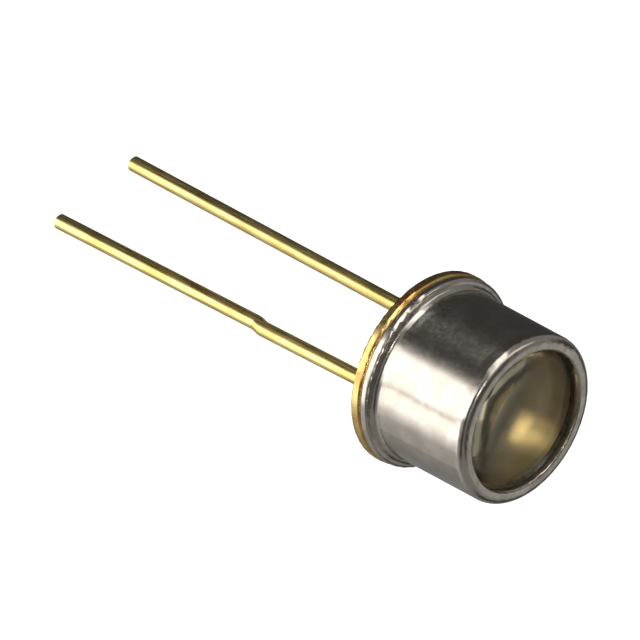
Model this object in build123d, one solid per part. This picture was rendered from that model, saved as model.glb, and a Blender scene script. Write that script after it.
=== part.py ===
from build123d import *
import math
import os

# Photodiode in a round metal can with a domed glass lens and two wire leads.
# Millimetres. The origin is the centre of the header's underside, which is the
# face that seats on a board. The optical axis is +Z and the leads run down -Z,
# side by side on the X axis.

# Header: one eyelet of gold-plated alloy sheet, formed as an upturned cup
# with a flat flange round its foot. The cup's top is the platform for the chip.
header_sheet = 0.295
header_rim_lap = 0.03
platform_side_clearance = 0.10
platform_height = 1.52
platform_edge_rounding = 0.15
header_inner_bend = 0.08
header_flange_bend = 0.10
header_rim_rounding = 0.07

# Leads: round gold-plated wires sealed in glass on a tenth of an inch. Their
# spacing sets the header's width, and the header's width sets the can's.
lead_diameter = 0.41
lead_pitch = 2.54
lead_wall_gap = 0.23
anode_lead_length = 11.63
cathode_lead_length = 11.70
lead_tip_chamfer = 0.04
post_height = 0.30
post_head_diameter = 0.56
post_head_thickness = 0.09
post_head_rounding = 0.03
seal_hole_diameter = 0.84

# The cathode lead leans outward a little, in degrees, from just under the header,
# and has one small set, where the wire steps sideways.
lean_angle = 1.05
lean_depth = 0.30
lean_bend_radius = 3.0
jog_depth = 4.45
jog_length = 0.26
jog_offset = 0.07
jog_bend_radius = 0.30

# Glass that fills the eyelet's underside and climbs a little way up each lead.
glass_recess = 0.08
glass_climb = 0.07

# Cap: drawn from nickel-plated sheet, welded by its flange to the header.
cap_sheet = 0.25
cap_flange_width = 0.27
cap_flange_rounding = 0.09
cap_flange_bend = 0.17
overall_can_height = 3.70
cap_shoulder_rounding = 0.21
cap_lip_width = 0.15
cap_lip_edge_rounding = 0.05
cap_inner_corner_rounding = 0.06

# Lens: moulded glass with a flat back, its dome standing in the cap's opening.
lens_side_clearance = 0.06
lens_top_clearance = 0.05
lens_edge_thickness = 0.55
lens_ledge = 0.14
lens_dome_rise = 0.22
lens_back_rounding = 0.06
lens_rim_rounding = 0.05

# Solder glass that closes the gap round the lens, in the opening and behind it.
frit_depth = 0.36
frit_climb = 0.05

# Silicon chip, the conductive layer under it and the bond wire to the post.
chip_side = 1.10
chip_thickness = 0.28
attach_margin = 0.06
attach_thickness = 0.03
attach_corner_rounding = 0.08
bond_pad_inset = 0.14
bond_wire_diameter = 0.038
bond_ball_diameter = 0.10
bond_ball_thickness = 0.03
bond_stitch_length = 0.14
bond_stitch_width = 0.07
bond_loop_height = 0.30
bond_rise = 0.12
bond_bend_radius = 0.06

# Most of a side that the roundings at its two ends may take together.
corner_room = 0.98

lead_radius = lead_diameter / 2
lead_x = lead_pitch / 2
ceiling_height = platform_height - header_sheet
cup_bore_radius = lead_x + lead_radius + lead_wall_gap
platform_radius = cup_bore_radius + header_sheet
cap_bore_radius = platform_radius + platform_side_clearance
barrel_radius = cap_bore_radius + cap_sheet
cap_flange_radius = barrel_radius + cap_flange_width
header_flange_radius = cap_flange_radius + header_rim_lap
opening_radius = cap_bore_radius - cap_lip_width
lip_underside = overall_can_height - cap_sheet
lens_radius = cap_bore_radius - lens_side_clearance
lens_ledge_height = lip_underside - lens_top_clearance
lens_dome_base_radius = lens_radius - lens_ledge
lens_back_height = lens_ledge_height - lens_edge_thickness
chip_base = platform_height + attach_thickness
chip_top = chip_base + chip_thickness
post_top = platform_height + post_height


def fitted(points, roundings):
    """Roundings for square corners, cut down where two would outgrow the side they share."""
    kept = list(roundings)
    for i, point in enumerate(points):
        after = (i + 1) % len(points)
        wanted = roundings[i] + roundings[after]
        room = corner_room * math.dist(point, points[after])
        if wanted > room:
            kept[i] = min(kept[i], roundings[i] * room / wanted)
            kept[after] = min(kept[after], roundings[after] * room / wanted)
    return kept


def turned(corners):
    """Solid turned about Z from its section, given as radius, height and rounding."""
    points = [(radius, height) for radius, height, rounding in corners]
    roundings = [rounding for radius, height, rounding in corners]
    outline = FilletPolyline(*points, radius=fitted(points, roundings), close=True)
    return revolve(Plane.XZ * make_face(outline), Axis.Z)


def rod(x, radius, bottom, top):
    """Upright round bar."""
    return Pos(x, 0, (bottom + top) / 2) * Cylinder(radius, top - bottom)


def header_eyelet():
    """The formed sheet: flange, bend, cup wall and platform, with one lead hole."""
    shell = turned(
        [
            (header_flange_radius, 0, header_rim_rounding),
            (header_flange_radius, header_sheet, header_rim_rounding),
            (platform_radius, header_sheet, header_flange_bend),
            (platform_radius, platform_height, platform_edge_rounding),
            (0, platform_height, 0),
            (0, ceiling_height, 0),
            (cup_bore_radius, ceiling_height, header_inner_bend),
            (cup_bore_radius, 0, header_flange_bend + header_sheet),
        ]
    )
    return shell - rod(-lead_x, seal_hole_diameter / 2, 0, platform_height)


def meniscus(x):
    """Glass drawn down round a lead, with a hollow flank."""
    outer_radius = lead_radius + glass_climb
    flank = CenterArc((outer_radius, glass_recess - glass_climb), glass_climb, 90, 90)
    root = Polyline(flank @ 1, (lead_radius, glass_recess), flank @ 0)
    return Pos(x, 0, 0) * revolve(Plane.XZ * make_face(flank + root), Axis.Z)


def header_glass(leads):
    """Glass moulded to the eyelet's inside, through its lead hole and round both leads."""
    bend = header_flange_bend + header_sheet
    sweep_angle = math.degrees(math.asin((bend - glass_recess) / bend))
    flare = CenterArc((cup_bore_radius + bend, bend), bend, 180, sweep_angle)
    roof = FilletPolyline(
        flare @ 0,
        (cup_bore_radius, ceiling_height),
        (0, ceiling_height),
        radius=header_inner_bend,
    )
    floor = Polyline(roof @ 1, (0, glass_recess), flare @ 1)
    fill = revolve(Plane.XZ * make_face(flare + roof + floor), Axis.Z)
    collar = rod(-lead_x, seal_hole_diameter / 2, ceiling_height, platform_height)
    glass = fill + collar + meniscus(-lead_x) + meniscus(lead_x)
    for lead in leads:
        glass -= lead
    return glass


def anode_lead():
    """Straight wire through the glass, upset to a nail head for the bond wire."""
    wire = rod(-lead_x, lead_radius, -anode_lead_length, post_top)
    tip = wire.edges().sort_by(Axis.Z)[0]
    wire = chamfer(tip, lead_tip_chamfer)
    head = rod(-lead_x, post_head_diameter / 2, post_top - post_head_thickness, post_top)
    rounding = min(post_head_rounding, corner_room * post_head_thickness / 2)
    return wire + fillet(head.edges().filter_by(GeomType.CIRCLE), rounding)


def cathode_lead():
    """Wire butted to the platform's underside, with its slight lean and small sideways set."""
    lean = math.tan(math.radians(lean_angle))
    jog_end = jog_depth + jog_length
    jog_x = lead_x + lean * (jog_depth - lean_depth)
    tip_x = jog_x - jog_offset + lean * (cathode_lead_length - jog_end)
    route = FilletPolyline(
        (lead_x, 0, ceiling_height),
        (lead_x, 0, -lean_depth),
        (jog_x, 0, -jog_depth),
        (jog_x - jog_offset, 0, -jog_end),
        (tip_x, 0, -cathode_lead_length),
        radius=[lean_bend_radius, jog_bend_radius, jog_bend_radius],
    )
    section = Plane(origin=route @ 0, z_dir=route % 0) * Circle(lead_radius)
    wire = sweep(section, path=route)
    tip = wire.edges().sort_by(Axis.Z)[0]
    return chamfer(tip, lead_tip_chamfer)


def cap():
    """The drawn shell: flange, bend, barrel, shoulder and the lip round the lens."""
    flange_top = header_sheet + cap_sheet
    return turned(
        [
            (cap_flange_radius, header_sheet, header_rim_rounding),
            (cap_flange_radius, flange_top, cap_flange_rounding),
            (barrel_radius, flange_top, cap_flange_bend),
            (barrel_radius, overall_can_height, cap_shoulder_rounding),
            (opening_radius, overall_can_height, cap_lip_edge_rounding),
            (opening_radius, lip_underside, cap_lip_edge_rounding),
            (cap_bore_radius, lip_underside, cap_inner_corner_rounding),
            (cap_bore_radius, header_sheet, cap_flange_bend + cap_sheet),
        ]
    )


def lens():
    """Flat back, short cylindrical edge, ledge behind the lip, then the dome."""
    apex = Vector(0, overall_can_height + lens_dome_rise)
    base = Vector(lens_dome_base_radius, lens_ledge_height)
    crown = apex.Y - base.Y
    dome_radius = (base.X**2 + crown**2) / (2 * crown)
    dome = RadiusArc(apex, base, dome_radius)
    edge = FilletPolyline(
        base,
        (lens_radius, lens_ledge_height),
        (lens_radius, lens_back_height),
        (0, lens_back_height),
        radius=[lens_rim_rounding, lens_back_rounding],
    )
    axis_line = Line(edge @ 1, apex)
    return revolve(Plane.XZ * make_face(dome + edge + axis_line), Axis.Z)


def lens_frit():
    """Ring of solder glass round the lens edge, over its ledge and up to the lip."""
    frit_bottom = lens_ledge_height - frit_depth
    return turned(
        [
            (cap_bore_radius, frit_bottom, 0),
            (cap_bore_radius, lip_underside, cap_inner_corner_rounding),
            (opening_radius, lip_underside, 0),
            (opening_radius, lip_underside + frit_climb, 0),
            (lens_dome_base_radius, lens_ledge_height, 0),
            (lens_radius, lens_ledge_height, 0),
            (lens_radius, frit_bottom, 0),
        ]
    )


def photodiode_chip():
    """Square silicon die."""
    return Pos(0, 0, chip_base + chip_thickness / 2) * Box(chip_side, chip_side, chip_thickness)


def die_attach():
    """Thin layer that squeezes out a little round the chip."""
    side = chip_side + 2 * attach_margin
    pad = RectangleRounded(side, side, attach_corner_rounding)
    return extrude(Pos(0, 0, platform_height) * pad, attach_thickness)


def bond_wire():
    """Fine gold wire: a ball on the chip, a loop over, and a flat stitch on the post."""
    radius = bond_wire_diameter / 2
    start_x = bond_pad_inset - chip_side / 2
    loop_top = chip_top + bond_loop_height
    route = FilletPolyline(
        (start_x, 0, chip_top),
        (start_x, 0, loop_top - bond_rise),
        (start_x - bond_rise, 0, loop_top),
        (bond_rise - lead_x, 0, loop_top - bond_rise),
        (-lead_x, 0, post_top + radius),
        radius=bond_bend_radius,
    )
    wire = sweep(Plane(origin=route @ 0, z_dir=route % 0) * Circle(radius), path=route)
    ball = rod(start_x, bond_ball_diameter / 2, chip_top, chip_top + bond_ball_thickness)
    stitch = extrude(SlotOverall(bond_stitch_length, bond_stitch_width), radius)
    return wire + ball + Pos(-lead_x, 0, post_top) * stitch


def main():
    anode = anode_lead()
    cathode = cathode_lead()
    parts = {
        "header_eyelet": header_eyelet(),
        "header_glass": header_glass([anode, cathode]),
        "anode_lead": anode,
        "cathode_lead": cathode,
        "cap": cap(),
        "lens": lens(),
        "lens_frit": lens_frit(),
        "photodiode_chip": photodiode_chip(),
        "die_attach": die_attach(),
        "bond_wire": bond_wire(),
    }
    os.makedirs("parts", exist_ok=True)
    for name, solid in parts.items():
        export_step(solid, f"parts/{name}.step")


main()
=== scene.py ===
"""Looks for a photodiode in a round metal can: finishes, studio and camera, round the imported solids.

Metres throughout. The optical axis is +Z and the two leads run down -Z.
"""
import math

import bpy
from mathutils import Matrix, Vector


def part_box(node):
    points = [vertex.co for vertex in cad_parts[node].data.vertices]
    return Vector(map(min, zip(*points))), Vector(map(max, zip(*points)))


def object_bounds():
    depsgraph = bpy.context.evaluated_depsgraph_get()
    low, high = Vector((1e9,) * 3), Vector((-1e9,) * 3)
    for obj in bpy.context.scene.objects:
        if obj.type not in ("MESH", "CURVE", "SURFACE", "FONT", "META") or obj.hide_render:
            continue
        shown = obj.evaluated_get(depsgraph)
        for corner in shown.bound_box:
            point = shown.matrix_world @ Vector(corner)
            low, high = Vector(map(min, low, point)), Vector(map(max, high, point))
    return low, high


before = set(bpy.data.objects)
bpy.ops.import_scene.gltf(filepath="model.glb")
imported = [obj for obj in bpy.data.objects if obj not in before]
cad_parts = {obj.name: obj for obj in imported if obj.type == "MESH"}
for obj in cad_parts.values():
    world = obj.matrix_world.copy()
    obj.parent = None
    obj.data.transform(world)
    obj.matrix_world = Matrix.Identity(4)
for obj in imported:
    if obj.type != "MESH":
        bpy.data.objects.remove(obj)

cad_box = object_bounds()

MM = 0.001


# Colour and shader tools


def linear(hex_colour):
    """An sRGB hex colour as linear red, green, blue and full alpha."""
    channels = [int(hex_colour[i:i + 2], 16) / 255 for i in (1, 3, 5)]
    return [c / 12.92 if c <= 0.04045 else ((c + 0.055) / 1.055) ** 2.4 for c in channels] + [1.0]


def node(tree, kind, sockets=None, **settings):
    """Adds one node. A socket is given a value, or the socket or node that feeds it."""
    made = tree.nodes.new(kind)
    for name, value in settings.items():
        setattr(made, name, value)
    for name, value in (sockets or {}).items():
        socket = made.inputs[name] if isinstance(name, int) else next(
            s for s in made.inputs if s.name == name and s.enabled
        )
        if isinstance(value, bpy.types.Node):
            value = next(s for s in value.outputs if s.enabled)
        if isinstance(value, bpy.types.NodeSocket):
            tree.links.new(value, socket)
        else:
            socket.default_value = value
    return made


def new_material(name):
    """An empty material, its node tree and the place on the part that a pixel shows, in metres."""
    material = bpy.data.materials.new(name)
    material.use_nodes = True
    tree = material.node_tree
    tree.nodes.clear()
    return material, tree, node(tree, "ShaderNodeTexCoord").outputs["Object"]


def grained(tree, place, grain, detail=3.0):
    """Noise centred on half. Its grain in millimetres is one length, or one each along X, Y and Z."""
    lengths = grain if isinstance(grain, tuple) else (grain, grain, grain)
    scale = tuple(1 / (length * MM) for length in lengths)
    squeezed = node(tree, "ShaderNodeVectorMath", {0: place, 1: scale}, operation="MULTIPLY")
    return node(tree, "ShaderNodeTexNoise", {"Vector": squeezed, "Scale": 1.0, "Detail": detail})


def spread(tree, value, low, high, to_low=0.0, to_high=1.0):
    """The value's stretch from low to high drawn out to another, and held beyond it."""
    return node(tree, "ShaderNodeMapRange", {
        "Value": value, "From Min": low, "From Max": high, "To Min": to_low, "To Max": to_high,
    }, interpolation_type="SMOOTHSTEP")


def blend(tree, share, colour_a, colour_b):
    """Colour A turning to colour B as the share goes from 0 to 1."""
    return node(tree, "ShaderNodeMix", {"Factor": share, "A": colour_a, "B": colour_b}, data_type="RGBA")


def relief(tree, height, depth, below=None):
    """Bump of the given depth in millimetres, laid over the bump below it."""
    sockets = {"Height": height, "Strength": 1.0, "Distance": depth * MM}
    if below:
        sockets["Normal"] = below
    return node(tree, "ShaderNodeBump", sockets)


def finish(tree, **sockets):
    """Ends a material in one principled shader. A socket's name has underscores for its spaces."""
    named = {name.replace("_", " "): value for name, value in sockets.items()}
    shader = node(tree, "ShaderNodeBsdfPrincipled", named)
    node(tree, "ShaderNodeOutputMaterial", {"Surface": shader})


# Finishes, with each grain and each depth of relief in millimetres

SHEET_WAVES = 0.55
SHEET_WAVE_DEPTH = 0.0012
PLATE_PEEL = 0.10
PLATE_PEEL_DEPTH = 0.0002
# The draw lines are wider than real ones, which are too fine to show.
DRAW_LINES = (0.035, 0.035, 1.6)
DRAW_LINE_DEPTH = 0.00012
STRAIN_LUMPS = 0.5
STRAIN_DEPTH = 0.028
STRAIN_ABOVE_FOOT = 0.305
STRAIN_BELOW_FRONT = 0.1
STRAIN_FADE = 0.4


def cap_strain(tree, place):
    """The lumps of the cap's bent sheet: full at its flange and its shoulder, none on the barrel."""
    foot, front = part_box("cap")
    foot_end = foot.z + STRAIN_ABOVE_FOOT * MM
    shoulder_start = front.z - STRAIN_BELOW_FRONT * MM
    height = node(tree, "ShaderNodeSeparateXYZ", {"Vector": place}).outputs["Z"]
    at_foot = spread(tree, height, foot_end, foot_end + STRAIN_FADE * MM, 1.0, 0.0)
    at_shoulder = spread(tree, height, shoulder_start - STRAIN_FADE * MM, shoulder_start)
    bends = node(tree, "ShaderNodeMath", {0: at_foot, 1: at_shoulder}, operation="ADD")
    lumps = grained(tree, place, STRAIN_LUMPS, 1.0)
    return node(tree, "ShaderNodeMath", {0: bends, 1: lumps}, operation="MULTIPLY")


def bright_nickel_plate():
    """Nickel plate over deep drawn steel, tumbled clean: a soft mirror, a little wavy, warm grey."""
    material, tree, place = new_material("bright nickel plate on drawn steel")
    waves = grained(tree, place, SHEET_WAVES, 1.0)
    peel = grained(tree, place, PLATE_PEEL)
    colour = blend(tree, spread(tree, waves, 0.35, 0.65), linear("#D2CABE"), linear("#C6BDB0"))
    normal = relief(tree, waves, SHEET_WAVE_DEPTH)
    normal = relief(tree, peel, PLATE_PEEL_DEPTH, normal)
    normal = relief(tree, grained(tree, place, DRAW_LINES), DRAW_LINE_DEPTH, normal)
    normal = relief(tree, cap_strain(tree, place), STRAIN_DEPTH, normal)
    finish(
        tree, Base_Color=colour, Metallic=1.0,
        Roughness=spread(tree, peel, 0.3, 0.7, 0.18, 0.24), Normal=normal,
    )
    return material


GOLD_GRAIN = 0.16
GOLD_GRAIN_DEPTH = 0.0015
GOLD_PATCHES = 0.7
SATIN_BELOW_PLATFORM = 0.42
SATIN_FADE = 0.2
SATIN_ROUGHNESS = 0.23


def gold_plate():
    """Gold electroplate over formed sheet: a deep yellow rim, and a paler satin platform inside."""
    material, tree, place = new_material("gold electroplate on formed sheet")
    grain = grained(tree, place, GOLD_GRAIN)
    patches = grained(tree, place, GOLD_PATCHES)
    height = node(tree, "ShaderNodeSeparateXYZ", {"Vector": place}).outputs["Z"]
    satin_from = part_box("header_eyelet")[1].z - SATIN_BELOW_PLATFORM * MM
    inside = spread(tree, height, satin_from, satin_from + SATIN_FADE * MM)
    rim = blend(tree, spread(tree, patches, 0.35, 0.65), linear("#FBDC8E"), linear("#D6A25C"))
    bright = spread(tree, grain, 0.3, 0.7, 0.16, 0.28)
    roughness = node(
        tree, "ShaderNodeMath", {0: inside, 1: SATIN_ROUGHNESS, 2: bright}, operation="MULTIPLY_ADD"
    )
    finish(
        tree, Base_Color=blend(tree, inside, rim, linear("#FFFAEC")), Metallic=1.0,
        Roughness=roughness, Normal=relief(tree, grain, GOLD_GRAIN_DEPTH),
    )
    return material


# The die's lines are wider than real ones, which are too fine to show.
DIE_LINES = (0.03, 0.03, 1.2)
DIE_LINE_DEPTH = 0.0012
WIRE_WAVES = (0.35, 0.35, 0.9)
WIRE_WAVE_DEPTH = 0.006


def gold_wire():
    """Gold plate over drawn wire: the die's fine lines run along it, which draw its glints out."""
    material, tree, place = new_material("gold electroplate on drawn wire")
    lines = grained(tree, place, DIE_LINES)
    waves = grained(tree, place, WIRE_WAVES)
    colour = blend(tree, spread(tree, waves, 0.35, 0.65), linear("#F8E096"), linear("#E6CA7A"))
    normal = relief(tree, waves, WIRE_WAVE_DEPTH)
    normal = relief(tree, lines, DIE_LINE_DEPTH, normal)
    finish(
        tree, Base_Color=colour, Metallic=1.0,
        Roughness=spread(tree, lines, 0.3, 0.7, 0.24, 0.38), Normal=normal,
    )
    return material


GLASS_RIPPLE = 0.9
GLASS_RIPPLE_DEPTH = 0.0025


def lens_glass():
    """Hard glass pressed to a dome: clear, faintly straw coloured, with the mould's slow ripple."""
    material, tree, place = new_material("pressed borosilicate glass")
    ripple = grained(tree, place, GLASS_RIPPLE)
    finish(
        tree, Base_Color=linear("#F3E9C6"), Roughness=spread(tree, ripple, 0.3, 0.7, 0.0, 0.04),
        IOR=1.52, Transmission_Weight=1.0, Normal=relief(tree, ripple, GLASS_RIPPLE_DEPTH),
    )
    return material


SOLDER_FLOW = (0.25, 0.25, 0.12)
SOLDER_FLOW_DEPTH = 0.01


def solder_glass():
    """Lead glass fused into the joint: dark brown, opaque and glossy, a little uneven."""
    material, tree, place = new_material("fused solder glass")
    flow = grained(tree, place, SOLDER_FLOW)
    colour = blend(tree, spread(tree, flow, 0.3, 0.7), linear("#2E281C"), linear("#46402F"))
    normal = relief(tree, flow, SOLDER_FLOW_DEPTH)
    finish(tree, Base_Color=colour, Roughness=0.22, IOR=1.7, Normal=normal)
    return material


BUBBLE_SPACING = 0.24
BUBBLE_DEPTH = 0.006
GLASS_CLOUDS = 0.6


def seal_glass():
    """Sealing glass moulded round the leads: near black green, glossy, with small bubbles."""
    material, tree, place = new_material("moulded sealing glass")
    bubbles = node(tree, "ShaderNodeTexVoronoi", {"Vector": place, "Scale": 1 / (BUBBLE_SPACING * MM)})
    bubble = spread(tree, bubbles, 0.10, 0.22, 1.0, 0.0)
    cloud = grained(tree, place, GLASS_CLOUDS)
    body = blend(tree, spread(tree, cloud, 0.3, 0.7), linear("#18211E"), linear("#2C3A34"))
    colour = blend(tree, bubble, body, linear("#5C6F66"))
    normal = relief(tree, bubble, BUBBLE_DEPTH)
    finish(tree, Base_Color=colour, Roughness=0.1, IOR=1.5, Normal=normal)
    return material


CHIP_RING_HALF = 0.44
CHIP_RING_WIDTH = 0.035
CHIP_PAD_X = -0.41
CHIP_PAD_RADIUS = 0.075
CHIP_TOP_SKIN = 0.03
CHIP_FILM_PATCHES = 0.5


def silicon():
    """Polished silicon, coated deep blue against reflection inside an aluminium contact ring."""
    material, tree, place = new_material("coated silicon with aluminium contact")
    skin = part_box("photodiode_chip")[1].z - CHIP_TOP_SKIN * MM
    parts = node(tree, "ShaderNodeSeparateXYZ", {"Vector": place}).outputs
    across = node(tree, "ShaderNodeMath", {0: parts["X"]}, operation="ABSOLUTE")
    along = node(tree, "ShaderNodeMath", {0: parts["Y"]}, operation="ABSOLUTE")
    square = node(tree, "ShaderNodeMath", {0: across, 1: along}, operation="MAXIMUM")
    ring = node(
        tree, "ShaderNodeMath",
        {0: square, 1: CHIP_RING_HALF * MM, 2: CHIP_RING_WIDTH / 2 * MM}, operation="COMPARE",
    )
    from_pad = node(
        tree, "ShaderNodeVectorMath", {0: place, 1: (CHIP_PAD_X * MM, 0, skin)}, operation="DISTANCE"
    )
    pad = node(
        tree, "ShaderNodeMath", {0: from_pad, 1: CHIP_PAD_RADIUS * MM}, operation="LESS_THAN"
    )
    metal = node(tree, "ShaderNodeMath", {0: ring, 1: pad}, operation="MAXIMUM")
    top = node(tree, "ShaderNodeMath", {0: parts["Z"], 1: skin}, operation="GREATER_THAN")
    metal = node(tree, "ShaderNodeMath", {0: metal, 1: top}, operation="MULTIPLY")
    film = grained(tree, place, CHIP_FILM_PATCHES)
    coated = blend(tree, spread(tree, film, 0.3, 0.7), linear("#1E2A52"), linear("#2D2C5E"))
    bare = blend(tree, top, linear("#5A5A60"), coated)
    finish(
        tree, Base_Color=blend(tree, metal, bare, linear("#D9DADB")), Metallic=metal,
        Roughness=0.12, IOR=3.8,
    )
    return material


# The flake is coarser than real flake, which is too fine to show.
SILVER_FLAKE = 0.02
SILVER_FLAKE_DEPTH = 0.004


def silver_epoxy():
    """Epoxy filled with silver flake, squeezed out under the chip: grey, sparkling and matt."""
    material, tree, place = new_material("silver filled epoxy")
    flake = grained(tree, place, SILVER_FLAKE)
    colour = blend(tree, spread(tree, flake, 0.35, 0.65), linear("#8D8A84"), linear("#CFCDC7"))
    normal = relief(tree, flake, SILVER_FLAKE_DEPTH)
    finish(tree, Base_Color=colour, Metallic=0.7, Roughness=0.5, Normal=normal)
    return material


def dress():
    """Gives each solid its finish."""
    wire = gold_wire()
    finishes = {
        "cap": bright_nickel_plate(),
        "header_eyelet": gold_plate(),
        "anode_lead": wire,
        "cathode_lead": wire,
        "bond_wire": wire,
        "lens": lens_glass(),
        "lens_frit": solder_glass(),
        "header_glass": seal_glass(),
        "photodiode_chip": silicon(),
        "die_attach": silver_epoxy(),
    }
    for name, material in finishes.items():
        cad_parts[name].material_slots[0].material = material


# Camera: the photograph shows no perspective, so the view is parallel

AXIS_FROM_SIGHT = math.radians(53.86)
AXIS_BELOW_LEVEL = math.radians(28.3)
LEADS_TURN = math.radians(-35.07)
PIXELS = 640
PIXELS_PER_MM = 39.26
FRONT_PIXEL = (526.4, 421.4)
CAMERA_DISTANCE = 50 * MM
CAMERA_SEES = (1 * MM, 4000 * MM)


def camera_axes():
    """The photograph's right, down and away as directions in the part's frame."""
    axis = Vector((
        math.sin(AXIS_FROM_SIGHT) * math.cos(AXIS_BELOW_LEVEL),
        math.sin(AXIS_FROM_SIGHT) * math.sin(AXIS_BELOW_LEVEL),
        -math.cos(AXIS_FROM_SIGHT),
    ))
    level = Vector((-math.sin(AXIS_BELOW_LEVEL), math.cos(AXIS_BELOW_LEVEL), 0))
    part_x = math.cos(LEADS_TURN) * level + math.sin(LEADS_TURN) * axis.cross(level)
    part_y = axis.cross(part_x)
    return [Vector((part_x[i], part_y[i], axis[i])) for i in range(3)]


def add_camera():
    """A parallel view that puts the can's front on the photograph's pixel, and its way of looking."""
    right, down, away = camera_axes()
    scale = MM / PIXELS_PER_MM
    centre = Vector((0, 0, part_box("cap")[1].z))
    centre += right * (PIXELS / 2 - FRONT_PIXEL[0]) * scale
    centre += down * (PIXELS / 2 - FRONT_PIXEL[1]) * scale
    camera = bpy.data.objects.new("camera", bpy.data.cameras.new("camera"))
    bpy.context.scene.collection.objects.link(camera)
    camera.data.type = "ORTHO"
    camera.data.ortho_scale = PIXELS * scale
    camera.data.clip_start, camera.data.clip_end = CAMERA_SEES
    camera.matrix_world = Matrix.Translation(centre - away * CAMERA_DISTANCE) @ Matrix(
        (right, -down, -away)
    ).transposed().to_4x4()
    bpy.context.scene.camera = camera
    return away


# Studio: a light tent with soft panels, one soft lamp, a pale floor and a white surround

TENT_RADIUS = 60 * MM
TENT_LEVEL = 0.24
# Each panel: azimuth from the camera's side about +Z, elevation, width and height, edge softness,
# all in degrees, and how bright its cloth is. A later panel hangs in front of an earlier one.
PANELS = {
    "low back flag": (180, 18, 90, 22, 8, 0.05),
    "back card": (180, 36, 50, 18, 6, 0.30),
    "back glint": (-171, 40, 26, 6, 4, 0.60),
    "dark flag": (-90, -42, 150, 60, 12, 0.05),
    "side card": (88, -36, 50, 70, 44, 0.50),
    "key softbox": (36, -46, 70, 52, 30, 2.2),
    "key top": (14, -12, 36, 68, 8, 2.1),
    "softbox seam": (42, -46, 3.6, 60, 2, 0.0),
    "left card": (-48, 14, 24, 76, 10, 2.0),
    "high window": (-82, 44, 44, 14, 8, 1.3),
    "upper flag": (35, 34, 100, 30, 12, 0.06),
    "overhead flag": (0, 90, 380, 56, 10, 0.08),
    "inner card": (-6, 57, 100, 20, 14, 0.30),
    "top lamp": (-6.5, 51.7, 11, 5, 4.5, 15.0),
}


def panel_share(tree, angle, centre, size, softness):
    """1 within a panel's size about its centre, falling smoothly to 0 over its edge."""
    offset = node(tree, "ShaderNodeMath", {0: angle, 1: math.radians(centre)}, operation="SUBTRACT")
    offset = node(tree, "ShaderNodeMath", {0: offset, 1: math.pi, 2: -math.pi}, operation="WRAP")
    offset = node(tree, "ShaderNodeMath", {0: offset}, operation="ABSOLUTE")
    inner = math.radians((size - softness) / 2)
    return spread(tree, offset, inner, inner + math.radians(softness), 1.0, 0.0)


def tent_cloth():
    """White cloth lit from behind, as bright at each place as the panels there make it."""
    material, tree, place = new_material("lit tent cloth")
    unit = node(tree, "ShaderNodeVectorMath", {0: place}, operation="NORMALIZE")
    parts = node(tree, "ShaderNodeSeparateXYZ", {"Vector": unit}).outputs
    azimuth = node(tree, "ShaderNodeMath", {0: parts["Y"], 1: parts["X"]}, operation="ARCTAN2")
    elevation = node(tree, "ShaderNodeMath", {0: parts["Z"]}, operation="ARCSINE")
    level = TENT_LEVEL
    for name, (turn, up, width, height, softness, strength) in PANELS.items():
        across = panel_share(tree, azimuth, turn, width, softness)
        along = panel_share(tree, elevation, up, height, softness)
        share = node(tree, "ShaderNodeMath", {0: across, 1: along}, operation="MULTIPLY")
        level = node(tree, "ShaderNodeMix", {"Factor": share, "A": level, "B": strength}, label=name)
    glow = node(tree, "ShaderNodeEmission", {"Strength": level})
    node(tree, "ShaderNodeOutputMaterial", {"Surface": glow})
    return material


def add_tent(away):
    """The tent round the part, which metal and glass mirror and the camera looks through."""
    bpy.ops.mesh.primitive_uv_sphere_add(segments=64, ring_count=32, radius=TENT_RADIUS)
    tent = bpy.context.object
    tent.name = "light_tent"
    tent.rotation_euler.z = math.atan2(-away.y, -away.x)
    tent.data.materials.append(tent_cloth())
    tent.visible_camera = False
    tent.visible_shadow = False


LAMP_TURN = math.radians(-75)
LAMP_RISE = math.radians(50)
LAMP_DISTANCE = 150 * MM
LAMP_SIZE = 80 * MM
LAMP_WATTS = 0.14


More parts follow.
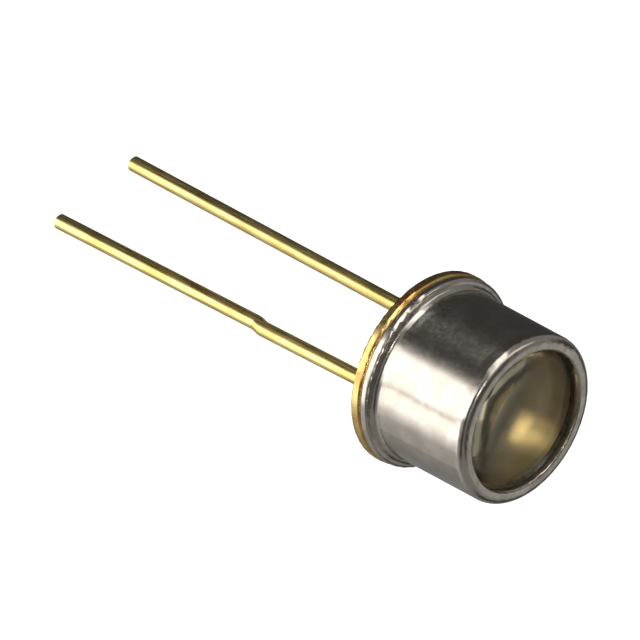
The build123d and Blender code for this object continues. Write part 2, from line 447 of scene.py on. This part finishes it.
def add_lamp(away):
    """The soft lamp behind the tent's cloth, which the matt surfaces and the floor are lit by."""
    turn = math.atan2(-away.y, -away.x) + LAMP_TURN
    toward = Vector((
        math.cos(LAMP_RISE) * math.cos(turn), math.cos(LAMP_RISE) * math.sin(turn), math.sin(LAMP_RISE)
    ))
    lamp = bpy.data.objects.new("soft_lamp", bpy.data.lights.new("soft_lamp", "AREA"))
    bpy.context.scene.collection.objects.link(lamp)
    lamp.data.shape = "DISK"
    lamp.data.size = LAMP_SIZE
    lamp.data.energy = LAMP_WATTS
    lamp.location = toward * LAMP_DISTANCE
    lamp.rotation_euler = toward.to_track_quat("Z", "Y").to_euler()
    lamp.visible_camera = False
    lamp.visible_glossy = False
    lamp.visible_transmission = False


FLOOR_DROP = 60 * MM
FLOOR_SIZE = 4000 * MM
FLOOR_GLOW = 0.7
WORLD_LEVEL = 0.5


def white_when_seen(tree):
    """1 where the camera, a reflection or the view through glass looks, and 0 for other light."""
    path = node(tree, "ShaderNodeLightPath").outputs
    seen = node(
        tree, "ShaderNodeMath", {0: path["Is Camera Ray"], 1: path["Is Glossy Ray"]}, operation="MAXIMUM"
    )
    return node(
        tree, "ShaderNodeMath", {0: seen, 1: path["Is Transmission Ray"]}, operation="MAXIMUM"
    )


def add_floor():
    """A plain pale floor below the part, which takes the lamp's light and the part's shadow."""
    bpy.ops.mesh.primitive_plane_add(size=FLOOR_SIZE, location=(0, 0, cad_box[0].z - FLOOR_DROP))
    floor = bpy.context.object
    floor.name = "floor"
    material, tree, _ = new_material("matt white paint")
    paint = node(tree, "ShaderNodeBsdfDiffuse", {"Color": linear("#F2F2F0")})
    strength = spread(tree, white_when_seen(tree), 0.0, 1.0, 0.0, FLOOR_GLOW)
    glow = node(tree, "ShaderNodeEmission", {"Strength": strength})
    both = node(tree, "ShaderNodeAddShader", {0: paint, 1: glow})
    node(tree, "ShaderNodeOutputMaterial", {"Surface": both})
    floor.data.materials.append(material)


def add_world():
    """A white surround, which lights the floor at a lower level than it is seen at."""
    world = bpy.data.worlds.new("studio")
    bpy.context.scene.world = world
    world.use_nodes = True
    tree = world.node_tree
    tree.nodes.clear()
    level = spread(tree, white_when_seen(tree), 0.0, 1.0, WORLD_LEVEL, 1.0)
    surround = node(tree, "ShaderNodeBackground", {"Strength": level})
    node(tree, "ShaderNodeOutputWorld", {"Surface": surround})


dress()
away = add_camera()
add_tent(away)
add_lamp(away)
add_floor()
add_world()
bpy.context.scene.view_settings.view_transform = "Standard"
